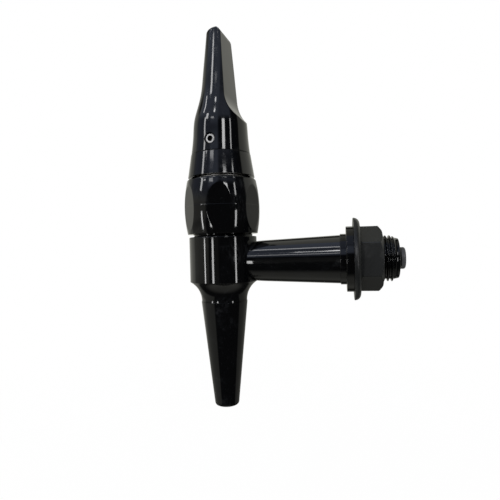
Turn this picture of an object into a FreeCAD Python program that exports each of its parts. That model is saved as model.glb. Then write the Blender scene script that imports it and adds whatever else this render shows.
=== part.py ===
"""Keg beer tap with a rocking lever, a lifting valve and a push-fit tube socket in its shank.

Millimetres. The origin is on the shank's axis, in the face that the counter panel is clamped against.
+X runs out along the shank to the tube, +Z is up and the drinker stands on the -X side.
Pieces of the upright column are worked out about their own axis and then set REACH in front of the face.
"""
import FreeCAD, Part
import math
import os

V = FreeCAD.Vector

# Main sizes of the tap
REACH = 62.4
THREAD_R = 10.478

# Body moulding: barrel, sweep down to the nozzle, stem for the collar nut
BARREL_R = 16.5
BARREL_BOTTOM = -9.6
BARREL_TOP = 12.1
SWEEP_R = 11.0
NECK_R = 11.1
NECK_BOTTOM = -19.25
STEM_R = 14.6
STEM_TOP = 24.0
ARM_R_AT_COLUMN = 9.0
ARM_R_AT_RING = 11.3
RING_R = 11.8
RING_LENGTH = 2.7
SHOULDER_R = 15.2
SHOULDER_LENGTH = 3.3
WATERWAY_R = 1.7
SHANK_THREAD_LENGTH = 18.1
SHANK_END = 19.8
SHANK_END_R = 9.15

# Valve inside the barrel
CHAMBER_R = 8.2
CHAMBER_TOP = 7.5
CHAMBER_FLOOR = -5.5
SEAT_TOP = -4.6
PORT_R = 4.0
GLAND_BORE_R = 10.5
SPRING_FOOT = 0.4
SPRING_HEAD = 11.0
SPINDLE_R = 3.75
SOCKET_R = 8.2
SOCKET_TOP = -11.3

# Collar nut
COLLAR_BOTTOM = 13.5
COLLAR_TOP = 40.0
COLLAR_R = 18.4
COLLAR_END_R = 16.95
COLLAR_FLATS = 34.8
COLLAR_TURN = 10.5
CLAMP_Z = 26.4

# Gland and the ring that the lever rocks on
GLAND_TUBE_R = 12.3
FULCRUM_Z = 41.07
FULCRUM_R = 12.0
FULCRUM_WASHER = 0.8

# Lever
SKIRT_TOP = 52.1
SKIRT_R_BOTTOM = 16.3
SKIRT_R_TOP = 14.6
PIN_Z = 44.0
PIN_R = 1.5
PIN_TRAVEL = 1.1
HEAD_R = 5.3
HEAD_TOP = 47.3
LEVER_CAVITY_R = 8.7
LEVER_ROOF = 48.8
STUD_R = 4.5
STUD_TOP = 70.0
HANDLE_TURN = -7.0
HANDLE_TOP = 112.8
HANDLE_RIM = 1.6
# Height, radius and forward lean of the round section of the handle
HANDLE_SECTIONS = [
    (52.1, 14.45, 0.0),
    (60.8, 13.50, 0.15),
    (69.5, 12.70, 0.27),
    (75.5, 11.25, 0.59),
    (81.5, 10.20, 1.19),
    (90.3, 9.33, 1.55),
    (104.1, 8.05, 1.83),
    (HANDLE_TOP, 7.20, 1.90),
]
# Flat side of the handle: where its face starts, the face's rake, the curve at its foot and at its crown
SCOOP_X = 6.04
SCOOP_Z = 80.0
SCOOP_RAKE = 3.5
SCOOP_FOOT_R = 16.0
SCOOP_FOOT_SLOPE = 44.0
SCOOP_CROWN_R = 4.0
SCREW_Z = 57.8
SCREW_R = 2.5

# Nozzle
NOZZLE_R_TOP = 11.3
NOZZLE_R_TIP = 5.8
NOZZLE_TIP = -70.25
OUTLET_R = 3.85
SPIGOT_R = 8.1
SPIGOT_TOP = -11.6

# Flange washer and back nut on the shank
WASHER_R = 19.1
WASHER_THICKNESS = 2.85
NUT_FLATS = 26.0
NUT_LENGTH = 9.75

# Push-fit socket for tube of 3/16 inch, 4.76 mm
TUBE_BORE_R = 2.45
TUBE_STOP = 4.0
TUBE_SEAT_R = 2.42
O_RING_SEAT = (8.0, 10.2)
CARTRIDGE_R = 7.0
COLLET_INNER_END = 13.0
COLLET_SLEEVE_R = 3.6
COLLET_FLANGE = (20.75, 22.75)
COLLET_FLANGE_R = 4.95

RUNNING = 0.05


def corner(before, point, after, radius):
    """Start, middle and end of the arc that rounds a corner of an outline."""
    to_before = V(before[0] - point[0], before[1] - point[1], 0).normalize()
    to_after = V(after[0] - point[0], after[1] - point[1], 0).normalize()
    half = to_before.getAngle(to_after) / 2
    reach = radius / math.tan(half)
    inward = (to_before + to_after).normalize()
    tip = V(point[0], point[1], 0)
    middle = tip + inward * (radius / math.sin(half) - radius)
    return tip + to_before * reach, middle, tip + to_after * reach


def bow(start, end, radius):
    """Middle of the arc from start to end. A positive radius bows it to the left of the way there."""
    across = V(end[0] - start[0], end[1] - start[1], 0)
    half = across.Length / 2
    rise = abs(radius) - math.sqrt(radius * radius - half * half)
    left = V(-across.y, across.x, 0).normalize()
    return V(start[0], start[1], 0) + across * 0.5 + left * math.copysign(rise, radius)


def outline(points):
    """Closed flat face from points. A third number rounds that corner, and ("bow", radius) ahead of
    a point bends the line that leads to it."""
    spots = [p for p in points if p[0] != "bow"]
    bends = {}
    count = 0
    for p in points:
        if p[0] == "bow":
            bends[count % len(spots)] = p[1]
        else:
            count += 1
    edges = []
    arrivals = []
    departures = []
    arcs = []
    for i, p in enumerate(spots):
        if len(p) == 3:
            start, middle, end = corner(spots[i - 1], p, spots[(i + 1) % len(spots)], p[2])
            arcs.append((start, middle, end))
        else:
            start = end = V(p[0], p[1], 0)
            arcs.append(None)
        arrivals.append(start)
        departures.append(end)
    for i in range(len(spots)):
        start, end = departures[i - 1], arrivals[i]
        if i in bends:
            edges.append(Part.Arc(start, bow(start, end, bends[i]), end).toShape())
        elif start.distanceToPoint(end) > 1e-6:
            edges.append(Part.LineSegment(start, end).toShape())
        if arcs[i]:
            edges.append(Part.Arc(*arcs[i]).toShape())
    return Part.Face(Part.Wire(edges))


def turned(points):
    """Solid of revolution about Z from (radius, height) points."""
    face = outline(points)
    face.rotate(V(0, 0, 0), V(1, 0, 0), 90)
    return face.revolve(V(0, 0, 0), V(0, 0, 1), 360)


def along_x(shape):
    """Turns what was worked out about Z so that its height runs along +X."""
    shape.rotate(V(0, 0, 0), V(0, 1, 0), 90)
    return shape


def bar(radius, start, end):
    """Round bar about Z between two heights."""
    return Part.makeCylinder(radius, end - start, V(0, 0, start))


def ring(centre_r, section_r, height):
    """O-ring about Z."""
    return Part.makeTorus(centre_r, section_r, V(0, 0, height))


def on_column(shape):
    """Carries a piece from its own axis to the tap's column."""
    shape.translate(V(-REACH, 0, 0))
    return shape


def body():
    """One moulding: barrel, sweep and socket for the nozzle, stem for the collar nut, arm and shank."""
    column = turned([
        (0, NECK_BOTTOM),
        (NECK_R, NECK_BOTTOM),
        ("bow", SWEEP_R),
        (BARREL_R, BARREL_BOTTOM),
        (BARREL_R, BARREL_TOP, 0.4),
        (STEM_R, BARREL_TOP),
        (STEM_R, STEM_TOP, 0.6),
        (0, STEM_TOP),
    ])
    arm_start = -REACH + CHAMBER_R + 2
    ring_start = -SHOULDER_LENGTH - RING_LENGTH
    arm_r_start = ARM_R_AT_COLUMN + (ARM_R_AT_RING - ARM_R_AT_COLUMN) * (CHAMBER_R + 2) / (REACH + ring_start)
    arm = along_x(turned([
        (0, arm_start),
        (arm_r_start, arm_start),
        (ARM_R_AT_RING, ring_start),
        (RING_R, ring_start, 0.15),
        (RING_R, -SHOULDER_LENGTH),
        (SHOULDER_R, -SHOULDER_LENGTH, 0.3),
        (SHOULDER_R, 0),
        (THREAD_R, 0),
        (THREAD_R, SHANK_THREAD_LENGTH),
        (SHANK_END_R, SHANK_THREAD_LENGTH),
        (SHANK_END_R, SHANK_END, 0.5),
        (0, SHANK_END),
    ]))
    solid = on_column(column).fuse(arm)
    joint = [e for e in solid.Edges if is_arm_root(e)]
    solid = solid.makeFillet(0.8, joint)
    return solid.cut(on_column(valve_cavity())).cut(tube_cavity())


def is_arm_root(edge):
    """True for the edges where the arm grows out of the barrel."""
    box = edge.BoundBox
    near = -REACH + BARREL_R * 0.5 < box.XMin and box.XMax < -REACH + BARREL_R + 1.5
    small = math.hypot(box.YMax, box.ZMax) < BARREL_R
    return near and small and box.XLength > 0.5


def valve_cavity():
    """The hollow about the column's axis: gland bore, chamber, raised seat, port and nozzle socket."""
    return turned([
        (0, NECK_BOTTOM - 1),
        (SOCKET_R, NECK_BOTTOM - 1),
        (SOCKET_R, SOCKET_TOP),
        (PORT_R, SOCKET_TOP),
        (PORT_R, SEAT_TOP),
        (PORT_R + 0.9, SEAT_TOP),
        (PORT_R + 1.4, CHAMBER_FLOOR),
        (CHAMBER_R, CHAMBER_FLOOR),
        (CHAMBER_R, CHAMBER_TOP),
        (GLAND_BORE_R, CHAMBER_TOP),
        (GLAND_BORE_R, STEM_TOP - 0.8),
        (GLAND_BORE_R + 0.5, STEM_TOP + 0.01),
        (0, STEM_TOP + 0.01),
    ])


def tube_cavity():
    """The hollow along the shank: cartridge seat, O-ring seat, tube stop and the way to the chamber."""
    return along_x(turned([
        (0, -REACH + 1),
        (WATERWAY_R, -REACH + 1),
        (WATERWAY_R, TUBE_STOP),
        (TUBE_SEAT_R, TUBE_STOP),
        (TUBE_SEAT_R, O_RING_SEAT[0]),
        (4.4, O_RING_SEAT[0]),
        (4.4, O_RING_SEAT[1]),
        (CARTRIDGE_R, O_RING_SEAT[1]),
        (CARTRIDGE_R, SHANK_END + 1),
        (0, SHANK_END + 1),
    ]))


def nozzle():
    """Tapered spout with a spigot that plugs into the body."""
    spout = turned([
        (5.2, SPIGOT_TOP - 2.8),
        (6.0, SPIGOT_TOP - 2.8),
        (6.0, SPIGOT_TOP),
        (SPIGOT_R, SPIGOT_TOP, 0.5),
        (SPIGOT_R, NECK_BOTTOM),
        (NOZZLE_R_TOP, NECK_BOTTOM, 0.25),
        (NOZZLE_R_TIP, NOZZLE_TIP, 1.4),
        (OUTLET_R, NOZZLE_TIP, 0.5),
    ])
    groove = bar(SPIGOT_R + 1, -17.4, -15.6).cut(bar(7.0, -17.4, -15.6))
    return spout.cut(groove)


def nozzle_o_ring():
    """Seal in the groove of the nozzle's spigot."""
    return ring(7.6, 0.58, -16.5)


def flow_straightener():
    """Disc with a ring of holes that calms the beer ahead of the spout."""
    disc = bar(5.95, SPIGOT_TOP - 2.7, SPIGOT_TOP - 0.1)
    holes = [Part.makeCylinder(1.2, 6, V(0, 0, SPIGOT_TOP - 5))]
    for k in range(6):
        hole = holes[0].copy()
        hole.translate(V(3.7, 0, 0))
        hole.rotate(V(0, 0, 0), V(0, 0, 1), 60 * k)
        holes.append(hole)
    for hole in holes:
        disc = disc.cut(hole)
    return disc


def collar_nut():
    """Barrel-shaped nut with six lens-shaped flats that clamps the gland down on the body."""
    barrel = turned([
        (STEM_R + 0.05, COLLAR_BOTTOM),
        (COLLAR_END_R + 0.15, COLLAR_BOTTOM, 0.01),
        ("bow", -60.0),
        (COLLAR_END_R, COLLAR_TOP - 1.0),
        ("bow", -1.1),
        (COLLAR_END_R - 1.1, COLLAR_TOP),
        (GLAND_TUBE_R + 0.2, COLLAR_TOP),
        (GLAND_TUBE_R + 0.2, CLAMP_Z),
        (STEM_R + 0.05, CLAMP_Z),
    ])
    height = COLLAR_TOP - COLLAR_BOTTOM
    for k in range(6):
        outside = Part.makeBox(40, 10, height, V(-20, -COLLAR_FLATS / 2 - 10, COLLAR_BOTTOM))
        outside.rotate(V(0, 0, 0), V(0, 0, 1), COLLAR_TURN + 60 * k)
        barrel = barrel.cut(outside)
    return barrel


def gland():
    """Turned guide of the spindle: plug with a seal groove, clamped flange and the neck under the lever."""
    groove_bottom, groove_top = 13.0, 15.0
    return turned([
        (6.8, 7.7),
        (GLAND_BORE_R - 0.1, 7.7, 0.5),
        (GLAND_BORE_R - 0.1, groove_bottom),
        (GLAND_BORE_R - 1.5, groove_bottom),
        (GLAND_BORE_R - 1.5, groove_top),
        (GLAND_BORE_R - 0.1, groove_top),
        (GLAND_BORE_R - 0.1, STEM_TOP),
        (STEM_R - 0.3, STEM_TOP),
        (STEM_R - 0.3, CLAMP_Z),
        (GLAND_TUBE_R, CLAMP_Z),
        (GLAND_TUBE_R, FULCRUM_Z - FULCRUM_WASHER, 0.2),
        (7.7, FULCRUM_Z - FULCRUM_WASHER),
        (7.7, FULCRUM_Z - 0.1),
        (SPINDLE_R + RUNNING, FULCRUM_Z - 0.1),
        (SPINDLE_R + RUNNING, SPRING_HEAD),
        (6.8, SPRING_HEAD),
    ])


def gland_o_ring():
    """Seal between the gland and the body's bore."""
    return ring(GLAND_BORE_R - 0.76, 0.73, 14.0)


def fulcrum_washer():
    """Hard flat ring on the gland that the lever rocks on."""
    low = FULCRUM_Z - FULCRUM_WASHER
    return bar(FULCRUM_R, low, FULCRUM_Z).cut(bar(7.8, low - 1, FULCRUM_Z + 1))


def spindle():
    """Rod that lifts the valve, with a slotted head for the lever's pin and two seal grooves."""
    rod = turned([
        (0, -1.8),
        (2.3, -1.8),
        (2.3, SPRING_FOOT),
        (SPINDLE_R, SPRING_FOOT),
        (SPINDLE_R, 41.5),
        (HEAD_R, 41.5),
        (HEAD_R, HEAD_TOP, 0.5),
        (0, HEAD_TOP),
    ])
    for height in SPINDLE_SEALS:
        groove = bar(SPINDLE_R + 1, height - 0.8, height + 0.8).cut(bar(2.6, height - 0.8, height + 0.8))
        rod = rod.cut(groove)
    half = PIN_R + 0.2
    slot = outline([
        (-PIN_TRAVEL - half, PIN_Z - half, 1.2),
        (half, PIN_Z - half, 1.2),
        (half, PIN_Z + half, 1.2),
        (-PIN_TRAVEL - half, PIN_Z + half, 1.2),
    ])
    slot.rotate(V(0, 0, 0), V(1, 0, 0), 90)
    slot.translate(V(0, 20, 0))
    return rod.cut(slot.extrude(V(0, -40, 0))).cut(bar(1.5, -3, 6.5))


SPINDLE_SEALS = (19.0, 27.0)


def spindle_o_rings():
    """Two seals that ride on the spindle in the gland's bore."""
    return Part.Compound([ring(3.17, 0.56, height) for height in SPINDLE_SEALS])


def washer_cup():
    """Cup under the spindle that carries the valve washer and the foot of the spring."""
    return turned([
        (2.3, -1.8),
        (6.1, -1.8),
        (6.1, -3.3),
        (6.9, -3.3),
        (6.9, SPRING_FOOT, 0.5),
        (2.3, SPRING_FOOT),
    ])


def valve_washer():
    """Rubber disc that closes on the seat."""
    return turned([
        (1.5, SEAT_TOP + 0.03),
        (6.05, SEAT_TOP + 0.03, 0.3),
        (6.05, -1.8),
        (1.5, -1.8),
    ])


def cup_screw():
    """Pan head screw that holds washer and cup on the spindle."""
    head = SEAT_TOP + 0.03
    screw = turned([
        (0, head - 1.5),
        (3.0, head - 1.5, 0.5),
        (3.0, head),
        (1.5, head),
        (1.5, 6.0),
        (0, 6.0),
    ])
    slot = Part.makeBox(8, 0.8, 0.9, V(-4, -0.4, head - 1.6))
    return screw.cut(slot)


def return_spring():
    """Coil spring that closes the valve, its ends ground flat on the cup and on the gland."""
    wire_r = 0.5
    coil_r = 5.6
    length = SPRING_HEAD - SPRING_FOOT
    path = Part.makeHelix(length / 5, length, coil_r)
    section = Part.Wire(Part.makeCircle(wire_r, V(coil_r, 0, 0), V(0, 1, 0)))
    coil = Part.Wire(path.Edges).makePipeShell([section], True, True)
    coil.translate(V(0, 0, SPRING_FOOT))
    return coil.common(bar(coil_r + 2, SPRING_FOOT, SPRING_HEAD))


def lever_base():
    """Skirt under the handle, cored out, with the ring that bears on the fulcrum washer."""
    base = turned([
        (LEVER_CAVITY_R, FULCRUM_Z),
        (FULCRUM_R, FULCRUM_Z),
        (FULCRUM_R, LEVER_ROOF),
        (13.4, LEVER_ROOF, 0.6),
        (14.5, FULCRUM_Z),
        (SKIRT_R_BOTTOM, FULCRUM_Z, 0.15),
        (SKIRT_R_TOP, SKIRT_TOP, 0.3),
        (STUD_R, SKIRT_TOP),
        (STUD_R, 51.0),
        (6.4, 51.0),
        (6.4, 49.8),
        (0, 49.8),
        (0, LEVER_ROOF),
        (LEVER_CAVITY_R, LEVER_ROOF, 0.8),
    ])
    hole = Part.makeCylinder(PIN_R, 24, V(0, -12, PIN_Z), V(0, 1, 0))
    mouth = Part.makeBox(2.5, 24.2, PIN_Z - FULCRUM_Z, V(-1.25, -12.1, FULCRUM_Z))
    return base.cut(hole).cut(mouth)


def pivot_pin():
    """Cross pin that pulls the spindle up."""
    return Part.makeCylinder(PIN_R, 23.6, V(0, -11.8, PIN_Z), V(0, 1, 0))


def lever_stud():
    """Steel stud moulded into the lever base, with a dimple for the grub screw."""
    stud = turned([
        (0, 49.8),
        (6.4, 49.8),
        (6.4, 51.0),
        (STUD_R, 51.0),
        (STUD_R, STUD_TOP, 0.8),
        (0, STUD_TOP),
    ])
    return stud.cut(screw_way(3.8, 10))


def screw_way(start, end, radius=SCREW_R + 0.1):
    """Bar along the grub screw's axis between two distances from the column's axis."""
    way = Part.makeCylinder(radius, end - start, V(0, -start, SCREW_Z), V(0, -1, 0))
    way.rotate(V(0, 0, 0), V(0, 0, 1), HANDLE_TURN)
    return way


def handle():
    """Moulded grip: round at its foot, leaning and tapering upwards, with a thumb scoop on one side."""
    swell = Part.BSplineCurve()
    swell.interpolate([V(lean, radius, height) for height, radius, lean in HANDLE_SECTIONS])
    wires = []
    for point in swell.discretize(21):
        wires.append(Part.Wire(Part.makeCircle(point.y, V(point.x, 0, point.z))))
    grip = Part.makeLoft(wires, True, False)
    rim = [e for e in grip.Edges if e.BoundBox.ZMin > HANDLE_TOP - 0.01]
    grip = grip.makeFillet(HANDLE_RIM, rim).cut(thumb_scoop())
    grip.rotate(V(0, 0, 0), V(0, 0, 1), HANDLE_TURN)
    bore = turned([
        (0, SKIRT_TOP - 1),
        (STUD_R, SKIRT_TOP - 1),
        (STUD_R, STUD_TOP + 0.5, 0.8),
        (0, STUD_TOP + 0.5),
    ])
    return grip.cut(bore).cut(screw_way(STUD_R - 0.5, 13.2, SCREW_R)).cut(screw_way(13.0, 20, SCREW_R + 0.25))


def thumb_scoop():
    """Cutter for the flat side: a raked face, curved back at its crown and swept out at its foot."""
    rake = math.radians(SCOOP_RAKE)
    slope = math.radians(SCOOP_FOOT_SLOPE)
    end_x = SCOOP_X + SCOOP_FOOT_R * (math.cos(rake) - math.cos(slope))
    end_z = SCOOP_Z - SCOOP_FOOT_R * (math.sin(slope) - math.sin(rake))
    crown_x = SCOOP_X - (HANDLE_TOP - SCOOP_Z) * math.tan(rake)
    out = 8.0
    face = outline([
        (crown_x - 2 * SCOOP_CROWN_R, HANDLE_TOP),
        (crown_x, HANDLE_TOP, SCOOP_CROWN_R),
        (SCOOP_X, SCOOP_Z),
        ("bow", SCOOP_FOOT_R),
        (end_x, end_z),
        (end_x + out, end_z - out / math.tan(slope)),
        (end_x + 3 * out, end_z - out / math.tan(slope)),
        (end_x + 3 * out, HANDLE_TOP + 1),
        (crown_x - 2 * SCOOP_CROWN_R, HANDLE_TOP + 1),
    ])
    face.rotate(V(0, 0, 0), V(1, 0, 0), 90)
    face.translate(V(0, 20, 0))
    return face.extrude(V(0, -40, 0))


def grub_screw():
    """M5 socket set screw with a cone point."""
    screw = turned([
        (0, 4.0),
        (1.0, 4.0),
        (SCREW_R - 0.02, 5.4),
        (SCREW_R - 0.02, 13.0, 0.35),
        (0, 13.0),
    ])
    across = 2.5
    hexagon = Part.makePolygon([socket_corner(across, k, 13.1) for k in range(7)])
    screw = screw.cut(Part.Face(hexagon).extrude(V(0, 0, -2.6)))
    screw.rotate(V(0, 0, 0), V(1, 0, 0), 90)
    screw.translate(V(0, 0, SCREW_Z))
    screw.rotate(V(0, 0, 0), V(0, 0, 1), HANDLE_TURN)
    return screw


def socket_corner(flats, k, height):
    """Corner k of a hexagon about Z, a corner on +X."""
    radius = flats / math.sqrt(3)
    turn = math.radians(60 * k)
    return V(radius * math.cos(turn), radius * math.sin(turn), height)


def flange_washer():
    """Moulded washer with a rounded rim."""
    return along_x(turned([
        (THREAD_R + 0.15, 0),
        (WASHER_R, 0),
        (WASHER_R, 0.35),
        ("bow", -2.6),
        (WASHER_R - 2.4, WASHER_THICKNESS),
        (THREAD_R + 0.15, WASHER_THICKNESS),
    ]))


def back_nut():
    """Hexagon nut, a corner up, chamfered on its outer end."""
    start = WASHER_THICKNESS
    end = start + NUT_LENGTH
    hexagon = Part.makePolygon([socket_corner(NUT_FLATS, k, start) for k in range(7)])
    prism = Part.Face(hexagon).extrude(V(0, 0, NUT_LENGTH))
    corner_r = NUT_FLATS / math.sqrt(3)
    limit = turned([
        (THREAD_R + 0.05, start),
        (corner_r - 0.4, start),
        (corner_r, start + 0.3),
        (corner_r, end - 1.5),
        (corner_r - 2.0, end),
        (THREAD_R + 0.6, end),
        (THREAD_R + 0.05, end - 0.6),
    ])
    return along_x(prism.common(limit))


def collet_cartridge():
    """Ring pressed into the shank, with the inner cone that closes the collet's legs on the tube."""
    return along_x(turned([
        (5.0, O_RING_SEAT[1]),
        (CARTRIDGE_R - 0.02, O_RING_SEAT[1], 0.3),
        (CARTRIDGE_R - 0.02, SHANK_END, 0.3),
        (3.85, SHANK_END, 0.3),
        (3.85, CONE_OUTER),
        (5.0, CONE_INNER),
    ]))


CONE_INNER = 14.2
CONE_OUTER = 16.8


def tube_collet():
    """Collet whose slotted legs grip the tube; its flange is pushed in to let the tube go."""
    cone = (5.0 - 3.85) / (CONE_OUTER - CONE_INNER)
    head_r = 4.7
    head_end = CONE_INNER + (5.0 - 0.12 - head_r) / cone
    sleeve_start = head_end + (head_r - COLLET_SLEEVE_R) / cone
    inner, outer = COLLET_FLANGE
    collet = turned([
        (TUBE_BORE_R, COLLET_INNER_END),
        (head_r, COLLET_INNER_END, 0.3),
        (head_r, head_end),
        (COLLET_SLEEVE_R, sleeve_start),
        (COLLET_SLEEVE_R, inner),
        (COLLET_FLANGE_R, inner, 0.2),
        (COLLET_FLANGE_R, outer, 0.9),
        (TUBE_BORE_R, outer),
    ])
    for k in range(3):
        slit = Part.makeBox(8, 0.8, 5.5, V(0, -0.4, COLLET_INNER_END))
        slit.rotate(V(0, 0, 0), V(0, 0, 1), 120 * k)
        collet = collet.cut(slit)
    return along_x(collet.cut(tooth_ring()))


def tooth_ring():
    """Three sprung steel segments, one in each leg, about Z."""
    segments = []
    for k in range(3):
        blade = turned([
            (TUBE_BORE_R, COLLET_INNER_END + 0.6),
            (3.3, COLLET_INNER_END + 0.9),
            (3.3, COLLET_INNER_END + 1.2),
            (TUBE_BORE_R, COLLET_INNER_END + 0.9),
        ])
        wedge = Part.makeCylinder(6, 4, V(0, 0, COLLET_INNER_END), V(0, 0, 1), 80)
        wedge.rotate(V(0, 0, 0), V(0, 0, 1), 120 * k + 20)
        segments.append(blade.common(wedge))
    return Part.Compound(segments)


def collet_teeth():
    """The collet's steel teeth."""
    return along_x(tooth_ring())


def tube_o_ring():
    """Seal that closes on the tube behind the collet."""
    return along_x(ring(3.25, 1.04, (O_RING_SEAT[0] + O_RING_SEAT[1]) / 2))


COLUMN_PIECES = [
    nozzle, nozzle_o_ring, flow_straightener, collar_nut, gland, gland_o_ring, fulcrum_washer,
    spindle, spindle_o_rings, washer_cup, valve_washer, cup_screw, return_spring,
    lever_base, pivot_pin, lever_stud, handle, grub_screw,
]
SHANK_PIECES = [
    body, flange_washer, back_nut, collet_cartridge, tube_collet, collet_teeth, tube_o_ring,
]


os.makedirs("parts", exist_ok=True)
for piece in COLUMN_PIECES:
    on_column(piece()).exportStep("parts/%s.step" % piece.__name__)
for piece in SHANK_PIECES:
    piece().exportStep("parts/%s.step" % piece.__name__)
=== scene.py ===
"""Looks of a keg beer tap: black moulded body, collar nut, rocking lever, spout and threaded shank.

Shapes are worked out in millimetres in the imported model's frame and become metres as they enter a mesh.
The shank's axis is +X, Z is up, and the upright column stands REACH in front of the shoulder.
"""
import math

import bmesh
import bpy
import numpy as np
from mathutils import Matrix, Vector


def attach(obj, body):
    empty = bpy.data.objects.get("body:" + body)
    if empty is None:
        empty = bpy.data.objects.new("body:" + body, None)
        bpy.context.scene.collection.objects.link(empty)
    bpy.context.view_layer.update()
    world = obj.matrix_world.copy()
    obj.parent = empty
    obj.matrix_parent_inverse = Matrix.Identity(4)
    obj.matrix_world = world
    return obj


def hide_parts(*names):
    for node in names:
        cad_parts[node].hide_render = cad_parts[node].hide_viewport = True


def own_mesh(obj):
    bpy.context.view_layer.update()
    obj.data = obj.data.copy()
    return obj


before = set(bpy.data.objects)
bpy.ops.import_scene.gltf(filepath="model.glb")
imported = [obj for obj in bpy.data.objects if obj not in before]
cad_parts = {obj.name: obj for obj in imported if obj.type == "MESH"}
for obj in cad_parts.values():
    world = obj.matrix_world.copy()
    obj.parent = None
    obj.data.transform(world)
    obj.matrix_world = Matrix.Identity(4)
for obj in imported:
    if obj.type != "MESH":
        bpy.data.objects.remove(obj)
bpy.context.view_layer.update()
scene = bpy.context.scene
scene.view_settings.view_transform = "Standard"


# Camera.
# Its place, turn and focal length were solved from edges and axes measured in the photograph.

yaw, pitch, roll = math.radians(-11.58), math.radians(-0.26), math.radians(-1.49)
forward = Vector((math.sin(yaw) * math.cos(pitch), math.cos(yaw) * math.cos(pitch), math.sin(pitch)))
level = Vector((math.cos(yaw), -math.sin(yaw), 0))
upright = level.cross(forward)
right = math.cos(roll) * level + math.sin(roll) * upright
up = -math.sin(roll) * level + math.cos(roll) * upright
camera_data = bpy.data.cameras.new("camera")
camera_data.sensor_width = 36.0
camera_data.lens = 31.34
camera = bpy.data.objects.new("camera", camera_data)
scene.collection.objects.link(camera)
camera.matrix_world = Matrix.Translation((-0.0064, -0.2079, 0.0063)) @ Matrix((
    (right.x, up.x, -forward.x, 0),
    (right.y, up.y, -forward.y, 0),
    (right.z, up.z, -forward.z, 0),
    (0, 0, 0, 1),
))
scene.camera = camera


# Studio.
# White all round to the eye, with a floor that keeps a soft shadow. Polished moulding shows the room that
# the tap was photographed in: tall windows in front, a pale ceiling, grey walls behind, little from below.


def node(tree, kind, sockets=None, **settings):
    """A node of that kind. Settings are its properties. Sockets take plain values or other nodes' outputs."""
    made = tree.nodes.new(kind)
    for name, value in settings.items():
        setattr(made, name, value)
    for name, value in (sockets or {}).items():
        if isinstance(value, bpy.types.NodeSocket):
            tree.links.new(value, made.inputs[name])
        else:
            made.inputs[name].default_value = value
    return made


def maths(tree, operation, *values):
    """Output of a Math node."""
    return node(tree, "ShaderNodeMath", dict(enumerate(values)), operation=operation).outputs[0]


def fade(tree, value, low, high):
    """0 below low, 1 above high and a smooth step between."""
    step = node(tree, "ShaderNodeMapRange", {"Value": value, "From Min": low, "From Max": high},
                interpolation_type="SMOOTHSTEP")
    return step.outputs["Result"]


def within(tree, value, low, high, soft):
    """1 between low and high, with edges that soft."""
    rising = fade(tree, value, low - soft, low + soft)
    return maths(tree, "SUBTRACT", rising, fade(tree, value, high - soft, high + soft))


def mixed(tree, factor, first, second):
    """Colour that goes from the first to the second as factor goes from 0 to 1."""
    blend = node(tree, "ShaderNodeMix", {"Factor": factor, 6: first, 7: second}, data_type="RGBA")
    return blend.outputs[2]


world = bpy.data.worlds.new("studio")
scene.world = world
world.use_nodes = True
sky = world.node_tree
sky.nodes.clear()
direction = node(sky, "ShaderNodeSeparateXYZ", {0: node(sky, "ShaderNodeTexCoord").outputs["Generated"]})
rays = node(sky, "ShaderNodeLightPath").outputs
# Azimuth in degrees from the front, growing towards +X, and elevation in degrees
azimuth = maths(sky, "ARCTAN2", direction.outputs["X"], maths(sky, "MULTIPLY", direction.outputs["Y"], -1.0))
azimuth = maths(sky, "DEGREES", azimuth)
elevation = maths(sky, "DEGREES", maths(sky, "ARCSINE", direction.outputs["Z"]))
# Patches of the room by their sides, feet and tops in degrees, their level, and how soft their edges are
room = 0.022
for left, right_end, low, high, level_there, soft in (
    (-190, -25, 50, 95, 0.65, 6),
    (-25, 190, 50, 95, 0.30, 6),
    (-100, -30, 30, 48, 0.50, 5),
    (-100, -30, 12, 30, 0.22, 5),
    (-30, 4, 22, 48, 0.50, 5),
    (4, 62, 30, 48, 0.35, 5),
    (-190, -100, 12, 30, 0.45, 4),
    (95, 190, 12, 34, 0.58, 3),
    (-190, -36, -6, 14, 0.30, 4),
    (-190, -98, -14, 14, 0.30, 4),
    (-190, -40, -34, -8, 0.28, 4),
    (100, 190, -6, 12, 0.30, 4),
    (95, 190, -34, -8, 0.20, 4),
    (-16, -2, -8, 12, 0.07, 3),
    (-190, 190, -95, -58, 0.30, 12),
):
    across = within(sky, azimuth, left, right_end, soft)
    patch = maths(sky, "MULTIPLY", across, within(sky, elevation, low, high, soft))
    room = maths(sky, "MULTIPLY_ADD", patch, level_there, room)
seen = maths(sky, "MAXIMUM", rays["Is Camera Ray"], rays["Is Transmission Ray"])
level_out = maths(sky, "MULTIPLY_ADD", rays["Is Glossy Ray"], room, seen)
level_out = maths(sky, "MULTIPLY_ADD", rays["Is Diffuse Ray"], 0.45, level_out)
# In reflections the ceiling in front is a little blue, the rest of the room a little warm
cool = maths(sky, "MULTIPLY", within(sky, azimuth, -95, 80, 15), fade(sky, elevation, 8, 22))
tint = mixed(sky, cool, (1.0, 1.0, 0.90, 1), (0.88, 1.0, 1.32, 1))
tint = mixed(sky, rays["Is Glossy Ray"], (1, 1, 1, 1), tint)
backdrop = node(sky, "ShaderNodeBackground", {"Color": tint, "Strength": level_out})
node(sky, "ShaderNodeOutputWorld", {"Surface": backdrop.outputs[0]})

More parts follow.
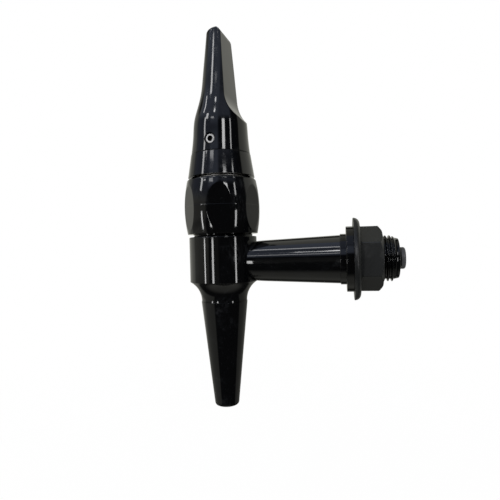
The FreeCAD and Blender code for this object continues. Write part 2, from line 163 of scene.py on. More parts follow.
FLOOR = -0.16
floor_mesh = bpy.data.meshes.new("floor")
floor_mesh.from_pydata([(-3, -3, FLOOR), (3, -3, FLOOR), (3, 3, FLOOR), (-3, 3, FLOOR)], [], [(0, 1, 2, 3)])
floor = bpy.data.objects.new("floor", floor_mesh)
scene.collection.objects.link(floor)
paper = bpy.data.materials.new("white_paper")
paper.use_nodes = True
tree = paper.node_tree
tree.nodes.clear()
rays = node(tree, "ShaderNodeLightPath").outputs
spot = node(tree, "ShaderNodeTexCoord").outputs["Object"]
distance = node(tree, "ShaderNodeVectorMath", {0: spot, 1: (-0.06, 0, FLOOR)}, operation="DISTANCE")
matt = node(tree, "ShaderNodeBsdfDiffuse", {"Color": (0.8, 0.8, 0.8, 1)})
glow = node(tree, "ShaderNodeEmission", {"Color": (1, 1, 1, 1), "Strength": 1.05})
clear = node(tree, "ShaderNodeBsdfTransparent")
lit = node(tree, "ShaderNodeMixShader", {0: 0.9, 1: matt.outputs[0], 2: glow.outputs[0]})
# The paper is there to the camera only, and runs out into the white a little way from the tap
near = maths(tree, "SUBTRACT", 1.0, fade(tree, distance.outputs["Value"], 0.15, 0.60))
there = maths(tree, "MULTIPLY", rays["Is Camera Ray"], near)
shown = node(tree, "ShaderNodeMixShader", {0: there, 1: clear.outputs[0], 2: lit.outputs[0]})
node(tree, "ShaderNodeOutputMaterial", {"Surface": shown.outputs[0]})
floor_mesh.materials.append(paper)

AIM = Vector((-0.05, 0.0, 0.015))
AWAY = 4.0


def soft_box(name, azimuth, elevation, wide, high, brightness):
    """Area lamp that faces the tap, placed and sized in degrees. Azimuth grows from -Y towards +X."""
    lamp = bpy.data.lights.new(name, "AREA")
    lamp.shape = "RECTANGLE"
    lamp.size = 2 * AWAY * math.tan(math.radians(wide / 2))
    lamp.size_y = 2 * AWAY * math.tan(math.radians(high / 2))
    lamp.energy = brightness * math.pi * lamp.size * lamp.size_y
    box = bpy.data.objects.new(name, lamp)
    scene.collection.objects.link(box)
    a, e = math.radians(azimuth), math.radians(elevation)
    away = Vector((math.sin(a) * math.cos(e), -math.cos(a) * math.cos(e), math.sin(e)))
    box.location = AIM + away * AWAY
    box.rotation_euler = away.to_track_quat("Z", "Y").to_euler()


soft_box("left_window", -47, 32.4, 9, 8.4, 9.0)
soft_box("left_window_top", -73, 39, 4, 6, 9.0)
soft_box("left_window_foot", -55, 24, 6, 11, 8.0)
soft_box("front_bar", -21, 30, 12, 2.5, 5.0)
soft_box("front_lamp", -14.5, 42, 5, 5, 15.0)
soft_box("ceiling_lamp", -27, 61, 12, 4, 6.0)
soft_box("right_window", 27, 21.2, 10, 13, 12.0)
soft_box("right_window_edge", 57, 21.5, 4, 12, 8.0)
soft_box("left_low", -50, -6, 4, 15, 13.0)
soft_box("front_low", -21, -6, 6, 15, 11.0)
soft_box("right_low", 56, -6, 5, 15, 10.0)


# Polished and satin black moulding.
# Injection-moulded acetal: near black, with a faint blue cast, orange-peel skin, slow flow waves that
# break up reflections, and the haze of handling.


def noise(tree, at, scale, detail=2.0, roughness=0.5):
    """Noise value at those coordinates. Scale is in ripples to the metre."""
    sockets = {"Vector": at, "Scale": scale, "Detail": detail, "Roughness": roughness}
    return node(tree, "ShaderNodeTexNoise", sockets).outputs["Fac"]


def between(tree, fac, low, high):
    """Value that goes from low to high as fac goes from 0 to 1."""
    return node(tree, "ShaderNodeMapRange", {"Value": fac, "To Min": low, "To Max": high}).outputs["Result"]


def moulding_group():
    """Moulded skin: colour with a little bloom, roughness with haze and wipe marks, and a bumped normal."""
    group = bpy.data.node_groups.new("moulded skin", "ShaderNodeTree")
    for name, kind, value in (
        ("Colour", "NodeSocketColor", (0.01, 0.01, 0.01, 1)),
        ("Bloom", "NodeSocketColor", (0.05, 0.05, 0.05, 1)),
        ("Gloss", "NodeSocketFloat", 0.1),
        ("Haze", "NodeSocketFloat", 0.1),
        ("Peel", "NodeSocketFloat", 0.1),
        ("Wave", "NodeSocketFloat", 0.1),
    ):
        group.interface.new_socket(name, in_out="INPUT", socket_type=kind).default_value = value
    for name, kind in (
        ("Colour", "NodeSocketColor"),
        ("Roughness", "NodeSocketFloat"),
        ("Normal", "NodeSocketVector"),
    ):
        group.interface.new_socket(name, in_out="OUTPUT", socket_type=kind)
    given = group.nodes.new("NodeGroupInput").outputs
    at = node(group, "ShaderNodeTexCoord").outputs["Object"]
    cloud = noise(group, at, 90.0, 4.0, 0.6)
    streaks = node(group, "ShaderNodeMapping", {
        "Vector": at, "Rotation": (0.3, 0.5, 0.9), "Scale": (1.0, 6.0, 1.0)})
    wiped = noise(group, streaks.outputs[0], 260.0, 3.0, 0.7)
    haze = maths(group, "MULTIPLY", fade(group, cloud, 0.45, 0.75), fade(group, wiped, 0.40, 0.72))
    specks = fade(group, noise(group, at, 1800.0, 1.0), 0.70, 0.78)
    bloom = maths(group, "MULTIPLY", maths(group, "ADD", haze, specks), 0.35)
    colour = mixed(group, bloom, given["Colour"], given["Bloom"])
    roughness = maths(group, "MULTIPLY_ADD", haze, given["Haze"], given["Gloss"])
    peel = node(group, "ShaderNodeBump", {
        "Strength": given["Peel"], "Distance": 0.0001, "Height": noise(group, at, 1400.0, 2.0)})
    wave = node(group, "ShaderNodeBump", {
        "Strength": given["Wave"], "Distance": 0.001, "Height": noise(group, at, 70.0, 1.0),
        "Normal": peel.outputs[0]})
    ends = group.nodes.new("NodeGroupOutput").inputs
    group.links.new(colour, ends["Colour"])
    group.links.new(roughness, ends["Roughness"])
    group.links.new(wave.outputs[0], ends["Normal"])
    return group


moulded_skin = moulding_group()


def moulded(name, colour, bloom, gloss, haze, peel, wave):
    """Material with the moulded skin at those values."""
    material = bpy.data.materials.new(name)
    material.use_nodes = True
    tree = material.node_tree
    skin_node = node(tree, "ShaderNodeGroup", node_tree=moulded_skin)
    for socket, value in zip(skin_node.inputs, (colour, bloom, gloss, haze, peel, wave)):
        socket.default_value = value
    shader = tree.nodes["Principled BSDF"]
    tree.links.new(skin_node.outputs["Colour"], shader.inputs["Base Color"])
    tree.links.new(skin_node.outputs["Roughness"], shader.inputs["Roughness"])
    tree.links.new(skin_node.outputs["Normal"], shader.inputs["Normal"])
    shader.inputs["IOR"].default_value = 1.48
    return material


gloss_black = moulded("gloss_black_acetal", (0.0014, 0.0015, 0.0019, 1), (0.030, 0.032, 0.036, 1),
                      gloss=0.06, haze=0.14, peel=0.008, wave=0.07)
satin_black = moulded("satin_black_nylon", (0.009, 0.010, 0.0105, 1), (0.05, 0.05, 0.05, 1),
                      gloss=0.36, haze=0.16, peel=0.30, wave=0.10)


# Body: barrel, arm and shank.
# One injection moulding. The barrel holds the valve, the arm carries the beer in from the shank, whose
# pipe thread takes the back nut. The arm's end is rounded in a little where it goes into the barrel.

REACH = 62.4
EDGE = 0.12
BARREL_R = 16.5
BARREL_TOP = 12.1
NECK_Z = -19.25
STEM_R = 14.6
STEM_PITCH = 1.5
STEM_THREAD = (12.5, 15.5)
CHAMBER_R = 8.2
THREAD_R = 10.478
PITCH = 1.814


def unit(v):
    """Vector of length 1 along v."""
    return v / np.linalg.norm(v)


def arc_between(start, end, centre, steps):
    """Points of the arc about centre from start to end, both ends included."""
    a, b = start - centre, end - centre
    angle = math.acos(np.clip(np.dot(unit(a), unit(b)), -1, 1))
    t = np.linspace(0, 1, steps + 1)[:, None]
    return centre + (np.sin((1 - t) * angle) * a + np.sin(t * angle) * b) / math.sin(angle)


def bowed(start, end, radius, steps=28):
    """Points inside the arc of that radius from start to end. A positive radius bows it to the left."""
    across = end - start
    half = np.linalg.norm(across) / 2
    left = unit(np.array([-across[1], across[0]]))
    centre = (start + end) / 2 - left * math.copysign(math.sqrt(radius ** 2 - half ** 2), radius)
    return arc_between(start, end, centre, steps)[1:-1]


def profile(points):
    """Line of (radius, height) rows through corner points. A third number is a corner's rounding, EDGE if it
    has none, and ("bow", radius) bends the way to the next point. Rows close beside each rounding keep the
    flats next to it flat in the shading."""
    corners = []
    bend = None
    for point in points:
        if point[0] == "bow":
            bend = point[1]
            continue
        here = np.array(point[:2], float)
        if bend:
            corners += [(p, 0) for p in bowed(corners[-1][0], here, bend)]
            bend = None
        on_axis = point[0] < 1e-6
        corners.append((here, point[2] if len(point) == 3 else 0 if on_axis else EDGE))
    line = []
    for i, (here, rounding) in enumerate(corners):
        before, after = corners[i - 1][0], corners[(i + 1) % len(corners)][0]
        if rounding == 0:
            line.append(here)
            continue
        a, b = unit(before - here), unit(after - here)
        half = math.acos(np.clip(np.dot(a, b), -1, 1)) / 2
        if half > 1.45:
            line.append(here)
            continue
        reach = rounding / math.tan(half)
        centre = here + unit(a + b) * rounding / math.sin(half)
        steps = 3 if rounding < 0.2 else 8
        line.append(here + a * reach * 1.25)
        line.extend(arc_between(here + a * reach, here + b * reach, centre, steps))
        line.append(here + b * reach * 1.25)
    return np.array(line)


def lathe(line, around=160):
    """Grid of points: each row is the line's radius swung about Z at the line's height."""
    turn = np.linspace(0, 2 * np.pi, around, endpoint=False)
    return swung(line[:, :1] + 0 * turn, line[:, 1:] + 0 * turn, turn + 0 * line[:, :1])


def swung(radius, height, turn):
    """Grid of points at those radii, heights and angles about Z."""
    return np.stack([radius * np.cos(turn), radius * np.sin(turn), height], axis=-1)


def on_column(grid):
    """Moves what was worked out about Z onto the column's axis."""
    return grid + np.array([-REACH, 0, 0])


def on_shank(grid):
    """Lays what was worked out about Z along the shank, so that height runs along +X."""
    return np.stack([grid[..., 2], grid[..., 0], grid[..., 1]], axis=-1)


def closed_mesh(name, material, grids):
    """Mesh of closed surfaces, one for each grid. Rows and columns both join up with their first ones, rows
    that meet on an axis close into a pole, and faces end up pointing outwards."""
    mesh = bpy.data.meshes.new(name)
    shell = bmesh.new()
    for grid in grids:
        rows, columns = grid.shape[:2]
        index = np.arange(rows * columns).reshape(rows, columns)
        down, across = np.roll(index, -1, axis=0), np.roll(index, -1, axis=1)
        quads = np.stack([index, across, np.roll(down, -1, axis=1), down], axis=-1).reshape(-1, 4)
        part = bpy.data.meshes.new("part")
        part.from_pydata((grid.reshape(-1, 3) * 0.001).tolist(), [], quads.tolist())
        shell.from_mesh(part)
        bpy.data.meshes.remove(part)
    bmesh.ops.remove_doubles(shell, verts=shell.verts, dist=1e-7)
    bmesh.ops.dissolve_degenerate(shell, edges=shell.edges, dist=1e-8)
    loose = [e for e in shell.edges if not e.link_faces]
    bmesh.ops.delete(shell, geom=loose, context="EDGES")
    bmesh.ops.recalc_face_normals(shell, faces=shell.faces)
    shell.to_mesh(mesh)
    shell.free()
    mesh.shade_smooth()
    mesh.materials.append(material)
    return mesh


def skin(name, material, grids, body, node_name):
    """Object made of those surfaces, which stands in for the CAD node of that name."""
    made = bpy.data.objects.new(name, closed_mesh(name, material, grids))
    scene.collection.objects.link(made)
    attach(made, body)
    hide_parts(node_name)
    return made


def ridge(height, turn, pitch, depth):
    """Depth of a right-hand thread's surface below its crests: a wave along the axis that moves on by one
    pitch a turn, with rounded roots and crests and straight flanks between them."""
    phase = (height / pitch - turn / (2 * np.pi)) % 1.0
    flank = np.clip((np.abs(2 * phase - 1) - 0.16) / 0.68, 0, 1)
    return depth * (0.5 - 0.5 * np.cos(np.pi * flank))


def fine_steps(low, high, step):
    """Even heights from low to high, about step apart."""
    return np.linspace(low, high, int(round((high - low) / step)) + 1)


# The column of the body, with the bore for the gland and the socket for the spout
stem = [(STEM_R, z, 0) for z in fine_steps(*STEM_THREAD, 0.1)]
column_line = profile([
    (11.1, NECK_Z, 0.03),
    ("bow", 11.0),
    (BARREL_R, -9.6, 0.15),
    (BARREL_R, BARREL_TOP, 0.4),
    (STEM_R, BARREL_TOP),
    *stem,
    (STEM_R, 24.0, 0.6),
    (10.5, 24.0, 0.5),
    (10.5, 7.5),
    (CHAMBER_R, 7.5),
    (CHAMBER_R, -5.5),
    (5.4, -5.5),
    (4.9, -4.6),
    (4.0, -4.6),
    (4.0, -11.3),
    (CHAMBER_R, -11.3),
    (CHAMBER_R, NECK_Z),
])
column_turn = np.linspace(0, 2 * np.pi, 192, endpoint=False)
column_r = column_line[:, :1] + 0 * column_turn
column_z = column_line[:, 1:] + 0 * column_turn
threaded = (column_z > STEM_THREAD[0] - 0.05) & (column_z < STEM_THREAD[1] + 0.05)
on_stem = threaded & (column_r > 14) & (column_r < STEM_R + 0.01)
column_r = column_r - on_stem * ridge(column_z, column_turn, STEM_PITCH, 0.6)

# The arm, from inside the barrel to the shoulder that the panel sits against
ARM_R = 9.0
ARM_TAPER = 2.3 / 56.4
ARM_ROOT_R = 9.4
ARM_END = 4.0
ARM_END_DROP = 0.13
RING_R = 11.8
SHOULDER_R = 15.2
SHOULDER_X = -3.3
WATERWAY_R = 1.7


def arm_radius(x):
    """Radius of the arm's cone at x."""
    return ARM_R + ARM_TAPER * (x + REACH)


arm_turn = np.linspace(0, 2 * np.pi, 192, endpoint=False)
out_of_barrel = fine_steps(-1.6, ARM_END, 0.4)[:, None]
root_x = -REACH + np.sqrt(BARREL_R ** 2 - (ARM_ROOT_R * np.cos(arm_turn)) ** 2) + out_of_barrel
root_r = arm_radius(root_x) - ARM_END_DROP * (1 - out_of_barrel / ARM_END) ** 2
arm_line = profile([
    (11.3, -6.0, 0.1),
    (RING_R, -6.0, 0.15),
    (RING_R, SHOULDER_X, 0.15),
    (SHOULDER_R, SHOULDER_X, 0.3),
    (SHOULDER_R, 0),
    (WATERWAY_R, 0),
    (WATERWAY_R, -REACH + 10),
])
arm_sides = lathe(arm_line, 192)
arm_root = swung(root_r, root_x, arm_turn)

# The threaded shank and the stepped bore that holds the push-fit socket
SHANK_END = 19.8
SOCKET_R = 7.0
shank_turn = np.linspace(0, 2 * np.pi, 144, endpoint=False)
thread_x = fine_steps(0.4, 17.9, 0.07)[:, None]
thread_r = THREAD_R - ridge(thread_x, shank_turn, PITCH, 1.1)
thread_r = np.minimum(thread_r, THREAD_R - 0.9 * np.clip(thread_x - 16.9, 0, None))
thread = swung(thread_r, thread_x + 0 * shank_turn, shank_turn + 0 * thread_x)
shank_end = lathe(profile([
    (9.35, 18.1, 0.2),
    (9.0, SHANK_END, 0.5),
    (SOCKET_R, SHANK_END, 0.2),
    (SOCKET_R, 10.2),
    (4.4, 10.2),
    (4.4, 8.0),
    (2.42, 8.0),
    (2.42, 4.0),
    (WATERWAY_R, 4.0),
    (WATERWAY_R, -1.0),
    (9.0, -1.0),
]), 144)
skin("body_moulding", gloss_black, [
    on_column(swung(column_r, column_z, column_turn + 0 * column_r)),
    on_shank(np.concatenate([arm_root, arm_sides])),
    on_shank(np.concatenate([thread, shank_end])),
], "tap", "body")


# Spout.
# A polished taper moulding whose spigot plugs into the body, with an O-ring groove and a drip edge.

SPIGOT_R = 8.1
SPOUT_TOP = NECK_Z - 0.02
SPOUT_TIP = -70.25
skin("spout", gloss_black, [on_column(lathe(profile([
    (5.2, -14.4),
    (6.0, -14.4),
    (6.0, -11.6),
    (SPIGOT_R, -11.6, 0.4),
    (SPIGOT_R, -15.6),
    (7.0, -15.6),
    (7.0, -17.4),
    (SPIGOT_R, -17.4),
    (SPIGOT_R, SPOUT_TOP),
    (11.3, SPOUT_TOP, 0.08),
    (5.8, SPOUT_TIP, 1.4),
    (3.85, SPOUT_TIP, 0.5),
])))], "tap", "nozzle")


# Collar nut.
# A barrel-shaped nut that clamps the gland. Six flats are milled off its bulge, and each flat shows as
# a lens because the barrel is fattest at its middle.

FLATS = 17.4
FLAT_TURN = math.radians(10.5)
COLLAR_FOOT = 13.5
COLLAR_TOP = 40.0
CLAMP_Z = 26.4
BULGE = -62.0
SEAM_Z = 26.75
SEAM_HEIGHT = 0.04
CLOSE = 0.012


def soft_min(a, b, blend):
    """The smaller of two numbers, with the corner where they cross rounded over about that distance."""
    gap = np.clip(blend - np.abs(a - b), 0, None) / blend
    return np.minimum(a, b) - gap * gap * blend / 4


def lens_columns(edge):
    """Angles of one sixth of a turn, crowded at plus and minus the angle where a flat ends."""
    inner = np.linspace(-1, 1, 25)[None, :-1] * (edge - CLOSE)
    crowd = np.linspace(-CLOSE, CLOSE, 7)[None, :]
    rest = np.linspace(0, 1, 12)[None, 1:-1]
    land = edge + CLOSE + rest * (np.pi / 3 - 2 * edge - 2 * CLOSE)
    return np.concatenate([inner, edge + crowd, land, np.pi / 3 - edge + crowd[:, :-1]], axis=1)


collar_line = profile([
    (17.1, COLLAR_FOOT, 0.2),
    ("bow", BULGE),
    (16.95, COLLAR_TOP - 1, 0),
    ("bow", -1.1),
    (15.85, COLLAR_TOP, 0.04),
    (12.5, COLLAR_TOP),
    (12.5, CLAMP_Z),
    (14.65, CLAMP_Z),
    (14.65, COLLAR_FOOT),
])
# Close rows half-way up the bulge carry the mould's parting line, a fine ridge
bulge_z = collar_line[:np.argmax(collar_line[:, 1]), 1]
below_seam = np.flatnonzero(bulge_z < SEAM_Z - 0.4)[-1]
above_seam = np.flatnonzero(bulge_z > SEAM_Z + 0.4)[0]
(below_r, below_z), (above_r, above_z) = collar_line[[below_seam, above_seam]]
seam_z = fine_steps(SEAM_Z - 0.3, SEAM_Z + 0.3, 0.06)
seam_r = np.interp(seam_z, [below_z, above_z], [below_r, above_r])
seam_rows = np.stack([seam_r, seam_z], axis=1)
collar_line = np.concatenate([collar_line[:below_seam + 1], seam_rows, collar_line[above_seam:]])
collar_r, collar_z = collar_line[:, :1], collar_line[:, 1:]
outside = (collar_r > 15.9) & (collar_z > COLLAR_FOOT + 0.05)
edge = np.where(outside, np.arccos(np.clip(FLATS / np.maximum(collar_r, FLATS + 0.03), -1, 1)), 0.06)
sixth = lens_columns(np.clip(edge, 0.06, 0.5))
collar_turn = np.concatenate([sixth + k * np.pi / 3 for k in range(6)], axis=1)
off_flat = (collar_turn + np.pi / 6) % (np.pi / 3) - np.pi / 6
milled = soft_min(collar_r + 0 * off_flat, FLATS / np.cos(off_flat), blend=0.06)
collar_rs = np.where(outside, milled, collar_r)
collar_rs = collar_rs + outside * SEAM_HEIGHT * np.exp(-((collar_z - SEAM_Z) / 0.1) ** 2)
skin("collar_nut_moulding", gloss_black, [
    on_column(swung(collar_rs, collar_z + 0 * collar_rs, collar_turn - np.pi / 2 + FLAT_TURN)),
], "tap", "collar_nut")


# Gland.
# The turned guide of the spindle. Its neck shows in the gap between collar nut and lever.

GLAND_R = 10.4
GLAND_NECK_R = 12.3
GLAND_BORE_R = 3.8
SPRING_HEAD = 11.0
skin("gland_turning", gloss_black, [on_column(lathe(profile([
    (6.8, 7.7),
    (GLAND_R, 7.7, 0.5),
    (GLAND_R, 13.0),
    (9.0, 13.0),
    (9.0, 15.0),
    (GLAND_R, 15.0),
    (GLAND_R, 24.0),
    (14.3, 24.0),
    (14.3, CLAMP_Z),
    (GLAND_NECK_R, CLAMP_Z),
    (GLAND_NECK_R, 40.27, 0.04),
    (7.7, 40.27),
    (7.7, 40.97),
    (GLAND_BORE_R, 40.97),
    (GLAND_BORE_R, SPRING_HEAD),
    (6.8, SPRING_HEAD),
]), 128))], "tap", "gland")


# Lever base.
# The conical skirt under the grip. It is cored out below, and its inner ring rocks on the fulcrum washer.

FULCRUM_Z = 41.07
LEVER_ROOF = 48.8
SKIRT_TOP = 52.1
STUD_R = 4.5
skin("lever_skirt", gloss_black, [on_column(lathe(profile([
    (8.7, FULCRUM_Z),
    (12.0, FULCRUM_Z),
    (12.0, LEVER_ROOF),
    (13.4, LEVER_ROOF, 0.6),
    (14.5, FULCRUM_Z),
    (16.3, FULCRUM_Z, 0.05),
    (14.6, SKIRT_TOP, 0.3),
    (STUD_R, SKIRT_TOP),
    (STUD_R, 51.0),
    (6.4, 51.0),
    (6.4, 49.8),
    (0, 49.8),
    (0, LEVER_ROOF),
    (8.7, LEVER_ROOF, 0.8),
])))], "lever", "lever_base")


# Grip.
# A moulded handle, round at its foot, with a thumb scoop cut down one side: a raked flat that sweeps out
# through a curve at its foot. A grub screw in a small recess holds it on the stud.

GRIP_TURN = math.radians(-7.0)
GRIP_TOP = 112.8
# Radius and forward lean of the round section at seven heights and the top
grip_z = np.array([SKIRT_TOP, 60.8, 69.5, 75.5, 81.5, 90.3, 104.1, GRIP_TOP])
grip_r = np.array([14.45, 13.50, 12.70, 11.25, 10.20, 9.33, 8.05, 7.20])
grip_lean = np.array([0.0, 0.15, 0.27, 0.59, 1.19, 1.55, 1.83, 1.90])


def through(x, y, at):
    """Natural cubic spline through (x, y), read at other places."""
    n = len(x)
    h = np.diff(x)
    bend = np.zeros((n, n))
    side = np.zeros(n)
    bend[0, 0] = bend[-1, -1] = 1
    for i in range(1, n - 1):
        bend[i, i - 1:i + 2] = h[i - 1], 2 * (h[i - 1] + h[i]), h[i]
        side[i] = 6 * ((y[i + 1] - y[i]) / h[i] - (y[i] - y[i - 1]) / h[i - 1])
    m = np.linalg.solve(bend, side)
    i = np.clip(np.searchsorted(x, at) - 1, 0, n - 2)
    a, b = x[i + 1] - at, at - x[i]
    curve = (m[i] * a ** 3 + m[i + 1] * b ** 3) / (6 * h[i])
    return curve + (y[i] / h[i] - m[i] * h[i] / 6) * a + (y[i + 1] / h[i] - m[i + 1] * h[i] / 6) * b


def scoop_depth(z):
    """Distance of the scoop's surface from the column's axis: a flat with 3.5 degrees of rake, an arc of
    radius 16, and then a straight way out at 44 degrees from the upright."""
    rake = math.radians(3.5)
    slope = math.radians(44)
    radius = 16.0
    start_r = 6.04
    start_z = 80.0
    centre_r = start_r + radius * math.cos(rake)
    centre_z = start_z + radius * math.sin(rake)
    arc_end_z = centre_z - radius * math.sin(slope)
    arc_end_r = centre_r - radius * math.cos(slope)
    flat = start_r - (z - start_z) * math.tan(rake)
    arc = centre_r - np.sqrt(np.clip(radius ** 2 - (z - centre_z) ** 2, 0, None))
    out = arc_end_r + (arc_end_z - z) * math.tan(slope)
    return np.where(z > start_z, flat, np.where(z > arc_end_z, arc, out))


RIM = 1.6
CROWN = 4.0
BEHIND = 3.0
EDGE_TURN = 0.3
NEAR_EDGE = 0.05
FOOT_ROUND = 0.25
climb = np.concatenate([
    fine_steps(SKIRT_TOP, SKIRT_TOP + 0.5, 0.1)[:-1],
    fine_steps(SKIRT_TOP + 0.5, 64.0, 0.45)[:-1],
    fine_steps(64.0, 78.0, 0.22)[:-1],
    fine_steps(78.0, GRIP_TOP - CROWN, 0.5)[:-1],
    fine_steps(GRIP_TOP - CROWN, GRIP_TOP - RIM, 0.2)[:-1],
])
over = np.linspace(0, np.pi / 2, 16)
rise = np.concatenate([climb, GRIP_TOP - RIM + RIM * np.sin(over)])


def turned_in(z, radius):
    """How far a rounding of that radius at the grip's top has brought the surface in at height z."""
    up_it = np.clip((z - GRIP_TOP + radius) / radius, 0, 1)
    return radius * (1 - np.sqrt(1 - up_it ** 2))


inset = turned_in(rise, RIM)
# The lowest rows round the foot's edge
inset[:4] += FOOT_ROUND * (1 - np.sin(np.linspace(0, np.pi / 2, 4)))
round_r = through(grip_z, grip_r, rise) - inset
lean = through(grip_z, grip_lean, rise)
# Each section is drawn by its distance from a point BEHIND its middle, which both the round side and the
# flat can be seen from even where the top is rounded over
to_flat = scoop_depth(rise) - lean - turned_in(rise, CROWN)
half_flat = np.sqrt(np.clip(round_r ** 2 - to_flat ** 2, 0, None))
flat_edge = np.where(to_flat < round_r, np.arctan2(half_flat, to_flat + BEHIND), 0)
flat_edge = np.clip(flat_edge, EDGE_TURN, None)[:, None]
flat_part = np.linspace(-1, 1, 41)[None, :-1] * (flat_edge - NEAR_EDGE)
crowd = np.linspace(-NEAR_EDGE, NEAR_EDGE, 11)[None, :]
rest = np.linspace(0, 1, 130)[None, 1:-1]
round_part = flat_edge + NEAR_EDGE + rest * 2 * (np.pi - flat_edge - NEAR_EDGE)
far_edge = 2 * np.pi - flat_edge + crowd[:, :-1]
grip_turn = np.concatenate([flat_part, flat_edge + crowd, round_part, far_edge], axis=1)
ahead, aside = np.cos(grip_turn), np.sin(grip_turn)
cut = np.where(ahead > 0.05, (to_flat[:, None] + BEHIND) / np.maximum(ahead, 0.05), 99.0)
whole = BEHIND * ahead + np.sqrt(round_r[:, None] ** 2 - (BEHIND * aside) ** 2)
grip_rs = soft_min(whole, cut, blend=0.3)
top_rows = np.linspace(1, 0, 9)[1:]
grip_rs = np.concatenate([grip_rs, grip_rs[-1:] * top_rows[:, None]])
grip_turn = np.concatenate([grip_turn, np.repeat(grip_turn[-1:], len(top_rows), axis=0)])
grip_heights = np.concatenate([rise, np.full(len(top_rows), GRIP_TOP)])[:, None] + 0 * grip_rs
grip_lean_rows = np.concatenate([lean, np.full(len(top_rows), lean[-1])])
grip_grid = swung(grip_rs, grip_heights, grip_turn)
grip_grid[..., 0] += grip_lean_rows[:, None] - BEHIND
# The bore for the stud, from its closed top down to the foot
bore_r = np.array([0.0, 3.7, 4.3, STUD_R, STUD_R])
bore_z = np.array([70.5, 70.5, 70.2, 69.7, SKIRT_TOP])
bore_turn = np.repeat(grip_turn[:1], 5, axis=0)
bore = swung(bore_r[:, None] + 0 * bore_turn, bore_z[:, None] + 0 * bore_turn, bore_turn)
grip_grid = np.concatenate([grip_grid, bore])


def on_grip(grid):
    """Turns a shape by the grip's own turn, and moves it onto the column."""
    c, s = math.cos(GRIP_TURN), math.sin(GRIP_TURN)
    return on_column(grid @ np.array([[c, s, 0], [-s, c, 0], [0, 0, 1]]))


grip = skin("grip", gloss_black, [on_grip(grip_grid)], "lever", "handle")

SCREW_Z = 57.8
SCREW_R = 2.48
SCREW_START = 4.0
SCREW_END = 13.0


def on_screw(grid):
    """Moves a shape turned about +Z onto the grub screw's axis, which points forwards out of the grip."""
    return on_grip(np.stack([grid[..., 0], -grid[..., 2], grid[..., 1] + SCREW_Z], axis=-1))


# The screw's way in, cut through the grip from its bore to the open air
WAY_R = SCREW_R + 0.04
RECESS_R = SCREW_R + 0.27
RECESS_FLOOR = SCREW_END - 0.1
drill = bpy.data.objects.new("drill", closed_mesh("drill", gloss_black, [on_screw(lathe(np.array([
    (0, SCREW_START),
    (WAY_R, SCREW_START),
    (WAY_R, RECESS_FLOOR),
    (RECESS_R, RECESS_FLOOR),
    (RECESS_R, 18.0),
    (0, 18.0),
]), 64))]))
scene.collection.objects.link(drill)
way_in = grip.modifiers.new("way_in", "BOOLEAN")
way_in.operation = "DIFFERENCE"
way_in.object = drill
drilled = bpy.data.meshes.new_from_object(grip.evaluated_get(bpy.context.evaluated_depsgraph_get()))
grip.modifiers.clear()
grip.data = drilled
bpy.data.objects.remove(drill)
drilled.set_sharp_from_angle(angle=math.radians(35))


# Flange washer and back nut.
# Satin mouldings on the shank: a washer with a rounded rim, and a hexagon nut chamfered on its outer end.

WASHER_R = 19.1
WASHER_END = 2.85
skin("flange_washer_moulding", satin_black, [on_shank(lathe(profile([
    (10.63, 0.02),
    (WASHER_R, 0.02, 0.1),
    (WASHER_R, 0.35, 0),
    ("bow", -2.6),
    (16.7, WASHER_END, 0),
    (10.63, WASHER_END),
])))], "tap", "flange_washer")

NUT_FLATS = 13.0
NUT_CORNER = NUT_FLATS / math.cos(math.pi / 6)
NUT_START = WASHER_END + 0.02
NUT_END = 12.6
nut_line = profile([
    (10.53, NUT_START),
    (NUT_CORNER - 0.4, NUT_START, 0.1),
    (NUT_CORNER, 3.2, 0),
    *[(NUT_CORNER, x, 0) for x in fine_steps(3.4, 11.0, 0.4)],
    *[(NUT_CORNER - (x - 11.1) * 4 / 3, x, 0) for x in fine_steps(11.1, 12.55, 0.12)],
    (NUT_CORNER - 2.0, NUT_END, 0.1),
    (11.1, NUT_END),
    (10.53, 12.0),
])


def hexagon(turn):
    """Distance of a hexagon's side at that angle, where half its width across flats is 1."""
    return 1 / np.cos(turn % (np.pi / 3) - np.pi / 6)


nut_turn = np.linspace(0, 2 * np.pi, 288, endpoint=False)
nut_sides = NUT_FLATS * hexagon(nut_turn) + 0 * nut_line[:, :1]
nut_r = soft_min(nut_line[:, :1] + 0 * nut_turn, nut_sides, blend=0.1)
skin("back_nut_moulding", satin_black, [
    on_shank(swung(nut_r, nut_line[:, 1:] + 0 * nut_r, nut_turn + np.pi / 2 + 0 * nut_r)),
], "tap", "back_nut")


# Metal, rubber and the small mouldings inside.
# Turned stainless with fine lathe rings, nitrile seals, and the collet of the push-fit socket.


def stainless_steel(name, smooth, rough):
    """Turned steel: fine rings stretched across the part, a few darker smears and soft reflections."""
    material = bpy.data.materials.new(name)
    material.use_nodes = True
    tree = material.node_tree
    at = node(tree, "ShaderNodeTexCoord").outputs["Object"]
    rings = node(tree, "ShaderNodeMapping", {"Vector": at, "Scale": (0.05, 0.05, 1.0)})
    lines = noise(tree, rings.outputs[0], 9000.0, 2.0)
    smear = noise(tree, at, 220.0, 4.0, 0.6)
    shader = tree.nodes["Principled BSDF"]
    colour = mixed(tree, smear, (0.66, 0.65, 0.63, 1), (0.48, 0.475, 0.46, 1))
    tree.links.new(colour, shader.inputs["Base Color"])
    tree.links.new(between(tree, lines, smooth, rough), shader.inputs["Roughness"])
    bump = node(tree, "ShaderNodeBump", {"Strength": 0.15, "Distance": 0.00005, "Height": lines})
    tree.links.new(bump.outputs[0], shader.inputs["Normal"])
    shader.inputs["Metallic"].default_value = 1.0
    return material


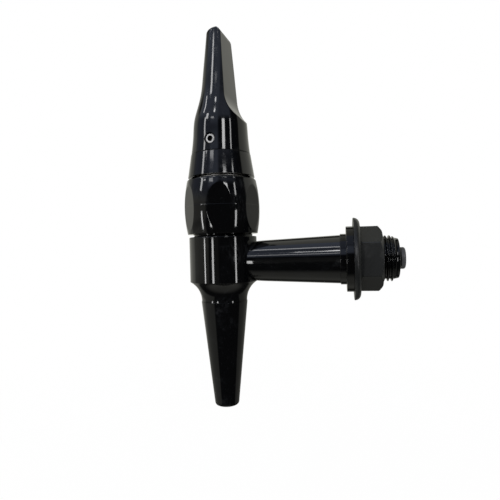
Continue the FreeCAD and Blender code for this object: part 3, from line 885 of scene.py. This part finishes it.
stainless = stainless_steel("turned_stainless", 0.16, 0.34)
plain_steel = stainless_steel("plain_stainless", 0.42, 0.60)
rubber = moulded("nitrile_rubber", (0.012, 0.012, 0.012, 1), (0.06, 0.06, 0.06, 1),
                 gloss=0.55, haze=0.2, peel=0.4, wave=0.1)
grey_collet = moulded("grey_collet_acetal", (0.075, 0.075, 0.08, 1), (0.12, 0.12, 0.12, 1),
                      gloss=0.34, haze=0.15, peel=0.2, wave=0.1)

# The grub screw, with a cone point and a hexagon socket
KEY_R = 1.25
KEY_FLOOR = 10.4
socket_turn = np.linspace(0, 2 * np.pi, 96, endpoint=False)
screw_line = profile([
    (0, SCREW_START),
    (1.0, SCREW_START),
    (SCREW_R, 5.4),
    (SCREW_R, SCREW_END - 0.45),
    (SCREW_R - 0.45, SCREW_END),
    (KEY_R, SCREW_END, 0.06),
    (KEY_R, KEY_FLOOR),
    (0, KEY_FLOOR),
])
in_socket = (screw_line[:, :1] < KEY_R + 0.15) & (screw_line[:, 1:] > KEY_FLOOR - 0.1)
screw_rs = screw_line[:, :1] * np.where(in_socket, hexagon(socket_turn), 1.0)
screw_z = screw_line[:, 1:] + 0 * screw_rs
screw = skin("set_screw", plain_steel, [on_screw(swung(screw_rs, screw_z, socket_turn + 0 * screw_rs))],
             "lever", "grub_screw")
screw.data.set_sharp_from_angle(angle=math.radians(35))
# Painted shade: the faces down in the hexagon socket take the black satin moulding's colour, so that the
# socket reads dark as if in shadow
screw.data.materials.append(satin_black)
mouth, foot = on_screw(np.array([[0, 0, SCREW_END - 0.1], [0, 0, SCREW_START]]))
for face in screw.data.polygons:
    out_of_mouth = np.array(face.center) * 1000 - mouth
    along = np.dot(out_of_mouth, unit(mouth - foot))
    off_axis = np.linalg.norm(out_of_mouth - along * unit(mouth - foot))
    face.material_index = int(-3.0 < along < 0 and off_axis < KEY_R + 0.25)

TUBE_R = 2.45
COLLET_FLANGE_R = 4.95
COLLET_END = 22.75
skin("collet", grey_collet, [on_shank(lathe(profile([
    (TUBE_R, 13.0),
    (4.7, 13.0, 0.3),
    (4.7, 14.607, 0.1),
    (3.6, 17.09),
    (3.6, 20.75),
    (COLLET_FLANGE_R, 20.75, 0.2),
    (COLLET_FLANGE_R, COLLET_END, 0.9),
    (TUBE_R, COLLET_END, 0.3),
]), 96))], "collet", "tube_collet")

skin("cartridge", satin_black, [on_shank(lathe(profile([
    (5.0, 10.2),
    (SOCKET_R - 0.02, 10.2, 0.3),
    (SOCKET_R - 0.02, SHANK_END, 0.3),
    (3.85, SHANK_END, 0.3),
    (3.85, 16.8),
    (5.0, 14.2),
]), 96))], "tap", "collet_cartridge")

# The return spring: round wire in five turns, ground flat at both ends, that stands against the gland
SPRING_FOOT = 0.4
SPRING_TURNS = 5
COIL_R = 5.6
WIRE_R = 0.5
turns = np.linspace(0, SPRING_TURNS, 361)
turns = np.concatenate([turns[:1], turns, turns[-1:]])[:, None]
wire_r = np.full(turns.shape, WIRE_R)
wire_r[[0, -1]] = 0
wire_turn = np.linspace(0, 2 * np.pi, 20, endpoint=False)
coil_z = SPRING_FOOT + (SPRING_HEAD - SPRING_FOOT) * turns / SPRING_TURNS + wire_r * np.sin(wire_turn)
coil_z = np.clip(coil_z, SPRING_FOOT, SPRING_HEAD)
coil = swung(COIL_R + wire_r * np.cos(wire_turn), coil_z, 2 * np.pi * turns + 0 * wire_turn)
spring = skin("closing_spring", stainless, [on_column(coil)], "tap", "return_spring")
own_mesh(spring)

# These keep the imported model's own shapes
INNER_FINISHES = {
    "gland_o_ring": rubber,
    "spindle_o_rings": rubber,
    "valve_washer": rubber,
    "nozzle_o_ring": rubber,
    "tube_o_ring": rubber,
    "fulcrum_washer": plain_steel,
    "spindle": stainless,
    "washer_cup": stainless,
    "cup_screw": stainless,
    "pivot_pin": stainless,
    "lever_stud": stainless,
    "collet_teeth": stainless,
    "flow_straightener": satin_black,
}
for name, finish in INNER_FINISHES.items():
    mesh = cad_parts[name].data
    mesh.materials.clear()
    mesh.materials.append(finish)
